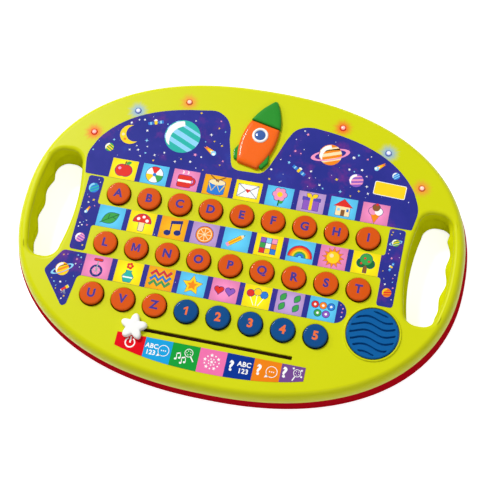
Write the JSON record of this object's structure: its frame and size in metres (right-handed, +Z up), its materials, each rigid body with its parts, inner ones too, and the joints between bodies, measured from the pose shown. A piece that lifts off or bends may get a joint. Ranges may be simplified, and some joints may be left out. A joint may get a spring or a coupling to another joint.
{
  "type": "toy learning board",
  "caption": "Oval electronic learning board for children, with a grip at each end, lettered and numbered press keys, a star-shaped mode slider, lamps and a loudspeaker.",
  "frame": {"origin": "middle of the case on the plane that its feet stand on", "axes": "+X to the player's right along the length, +Y away from the player, +Z up out of the face"},
  "size_m": [0.362, 0.259, 0.0391],
  "materials": {
    "shell_lime": "smooth moulded ABS, satin",
    "shell_red": "smooth moulded ABS, semi-gloss",
    "key_orange": "moulded plastic with printed legend, satin gloss",
    "key_blue": "moulded plastic with printed legend, satin gloss",
    "grille_blue": "moulded plastic, satin",
    "knob_white": "moulded plastic, satin",
    "emblem_orange": "moulded plastic, glossy",
    "emblem_green": "moulded plastic, glossy",
    "label_print": "laminated printed paper label, satin",
    "lamp_red": "tinted clear lens, lit",
    "lamp_blue": "tinted clear lens, lit",
    "lamp_orange": "tinted clear lens, lit",
    "foot_rubber": "matt rubber",
    "screw_zinc": "zinc plated",
    "battery_wrap": "printed wrap over a metal can",
    "contact_nickel": "nickel plated spring steel",
    "board_phenolic": "phenolic circuit board",
    "keypad_silicone": "soft silicone",
    "epoxy_black": "glossy epoxy",
    "capacitor_sleeve": "printed sleeve",
    "basket_steel": "pressed steel",
    "cone_paper": "pressed paper",
    "magnet_ferrite": "ferrite with a steel back",
    "cable_grey": "flat ribbon cable"
  },
  "bodies": {
    "case": {"top_shell": "shell_lime", "bottom_shell": "shell_red", "battery_door": "shell_red", "door_screw": "screw_zinc", "batteries": "battery_wrap", "battery_contacts": "contact_nickel", "rubber_feet": "foot_rubber", "case_screws": "screw_zinc", "main_board": "board_phenolic", "board_screws": "screw_zinc", "keypad_rubber": "keypad_silicone", "sound_chip": "epoxy_black", "capacitors": "capacitor_sleeve", "speaker_grille": "grille_blue", "speaker_basket": "basket_steel", "speaker_cone": "cone_paper", "speaker_magnet": "magnet_ferrite", "leds_red": "lamp_red", "leds_blue": "lamp_blue", "leds_orange": "lamp_orange", "led_board_left": "board_phenolic", "led_board_right": "board_phenolic", "ribbon_cables": "cable_grey", "emblem_hull": "emblem_orange", "emblem_fins": "emblem_green", "emblem_porthole": "knob_white", "label_upper": "label_print", "label_middle": "label_print", "label_lower": "label_print", "label_mode": "label_print"},
    "slider": {"slider_knob": "knob_white", "slider_carriage": "knob_white", "slider_wiper": "contact_nickel"},
    "key_a": {"key_a": "key_orange"},
    "key_b": {"key_b": "key_orange"},
    "key_c": {"key_c": "key_orange"},
    "key_d": {"key_d": "key_orange"},
    "key_e": {"key_e": "key_orange"},
    "key_f": {"key_f": "key_orange"},
    "key_g": {"key_g": "key_orange"},
    "key_h": {"key_h": "key_orange"},
    "key_i": {"key_i": "key_orange"},
    "key_l": {"key_l": "key_orange"},
    "key_m": {"key_m": "key_orange"},
    "key_n": {"key_n": "key_orange"},
    "key_o": {"key_o": "key_orange"},
    "key_p": {"key_p": "key_orange"},
    "key_q": {"key_q": "key_orange"},
    "key_r": {"key_r": "key_orange"},
    "key_s": {"key_s": "key_orange"},
    "key_t": {"key_t": "key_orange"},
    "key_u": {"key_u": "key_orange"},
    "key_v": {"key_v": "key_orange"},
    "key_z": {"key_z": "key_orange"},
    "key_1": {"key_1": "key_blue"},
    "key_2": {"key_2": "key_blue"},
    "key_3": {"key_3": "key_blue"},
    "key_4": {"key_4": "key_blue"},
    "key_5": {"key_5": "key_blue"}
  },
  "joints": [
    {"name": "mode_slide", "type": "slide", "parent": "case", "child": "slider", "axis": [1, 0, 0], "range_m": [0, 0.12]},
    {"name": "press_a", "type": "slide", "parent": "case", "child": "key_a", "axis": [0, 0, -1], "range_m": [0, 0.0015], "stiffness_N_per_m": 400, "springref_m": -0.002},
    {"name": "press_b", "type": "slide", "parent": "case", "child": "key_b", "axis": [0, 0, -1], "range_m": [0, 0.0015], "stiffness_N_per_m": 400, "springref_m": -0.002},
    {"name": "press_c", "type": "slide", "parent": "case", "child": "key_c", "axis": [0, 0, -1], "range_m": [0, 0.0015], "stiffness_N_per_m": 400, "springref_m": -0.002},
    {"name": "press_d", "type": "slide", "parent": "case", "child": "key_d", "axis": [0, 0, -1], "range_m": [0, 0.0015], "stiffness_N_per_m": 400, "springref_m": -0.002},
    {"name": "press_e", "type": "slide", "parent": "case", "child": "key_e", "axis": [0, 0, -1], "range_m": [0, 0.0015], "stiffness_N_per_m": 400, "springref_m": -0.002},
    {"name": "press_f", "type": "slide", "parent": "case", "child": "key_f", "axis": [0, 0, -1], "range_m": [0, 0.0015], "stiffness_N_per_m": 400, "springref_m": -0.002},
    {"name": "press_g", "type": "slide", "parent": "case", "child": "key_g", "axis": [0, 0, -1], "range_m": [0, 0.0015], "stiffness_N_per_m": 400, "springref_m": -0.002},
    {"name": "press_h", "type": "slide", "parent": "case", "child": "key_h", "axis": [0, 0, -1], "range_m": [0, 0.0015], "stiffness_N_per_m": 400, "springref_m": -0.002},
    {"name": "press_i", "type": "slide", "parent": "case", "child": "key_i", "axis": [0, 0, -1], "range_m": [0, 0.0015], "stiffness_N_per_m": 400, "springref_m": -0.002},
    {"name": "press_l", "type": "slide", "parent": "case", "child": "key_l", "axis": [0, 0, -1], "range_m": [0, 0.0015], "stiffness_N_per_m": 400, "springref_m": -0.002},
    {"name": "press_m", "type": "slide", "parent": "case", "child": "key_m", "axis": [0, 0, -1], "range_m": [0, 0.0015], "stiffness_N_per_m": 400, "springref_m": -0.002},
    {"name": "press_n", "type": "slide", "parent": "case", "child": "key_n", "axis": [0, 0, -1], "range_m": [0, 0.0015], "stiffness_N_per_m": 400, "springref_m": -0.002},
    {"name": "press_o", "type": "slide", "parent": "case", "child": "key_o", "axis": [0, 0, -1], "range_m": [0, 0.0015], "stiffness_N_per_m": 400, "springref_m": -0.002},
    {"name": "press_p", "type": "slide", "parent": "case", "child": "key_p", "axis": [0, 0, -1], "range_m": [0, 0.0015], "stiffness_N_per_m": 400, "springref_m": -0.002},
    {"name": "press_q", "type": "slide", "parent": "case", "child": "key_q", "axis": [0, 0, -1], "range_m": [0, 0.0015], "stiffness_N_per_m": 400, "springref_m": -0.002},
    {"name": "press_r", "type": "slide", "parent": "case", "child": "key_r", "axis": [0, 0, -1], "range_m": [0, 0.0015], "stiffness_N_per_m": 400, "springref_m": -0.002},
    {"name": "press_s", "type": "slide", "parent": "case", "child": "key_s", "axis": [0, 0, -1], "range_m": [0, 0.0015], "stiffness_N_per_m": 400, "springref_m": -0.002},
    {"name": "press_t", "type": "slide", "parent": "case", "child": "key_t", "axis": [0, 0, -1], "range_m": [0, 0.0015], "stiffness_N_per_m": 400, "springref_m": -0.002},
    {"name": "press_u", "type": "slide", "parent": "case", "child": "key_u", "axis": [0, 0, -1], "range_m": [0, 0.0015], "stiffness_N_per_m": 400, "springref_m": -0.002},
    {"name": "press_v", "type": "slide", "parent": "case", "child": "key_v", "axis": [0, 0, -1], "range_m": [0, 0.0015], "stiffness_N_per_m": 400, "springref_m": -0.002},
    {"name": "press_z", "type": "slide", "parent": "case", "child": "key_z", "axis": [0, 0, -1], "range_m": [0, 0.0015], "stiffness_N_per_m": 400, "springref_m": -0.002},
    {"name": "press_1", "type": "slide", "parent": "case", "child": "key_1", "axis": [0, 0, -1], "range_m": [0, 0.0015], "stiffness_N_per_m": 400, "springref_m": -0.002},
    {"name": "press_2", "type": "slide", "parent": "case", "child": "key_2", "axis": [0, 0, -1], "range_m": [0, 0.0015], "stiffness_N_per_m": 400, "springref_m": -0.002},
    {"name": "press_3", "type": "slide", "parent": "case", "child": "key_3", "axis": [0, 0, -1], "range_m": [0, 0.0015], "stiffness_N_per_m": 400, "springref_m": -0.002},
    {"name": "press_4", "type": "slide", "parent": "case", "child": "key_4", "axis": [0, 0, -1], "range_m": [0, 0.0015], "stiffness_N_per_m": 400, "springref_m": -0.002},
    {"name": "press_5", "type": "slide", "parent": "case", "child": "key_5", "axis": [0, 0, -1], "range_m": [0, 0.0015], "stiffness_N_per_m": 400, "springref_m": -0.002}
  ]
}
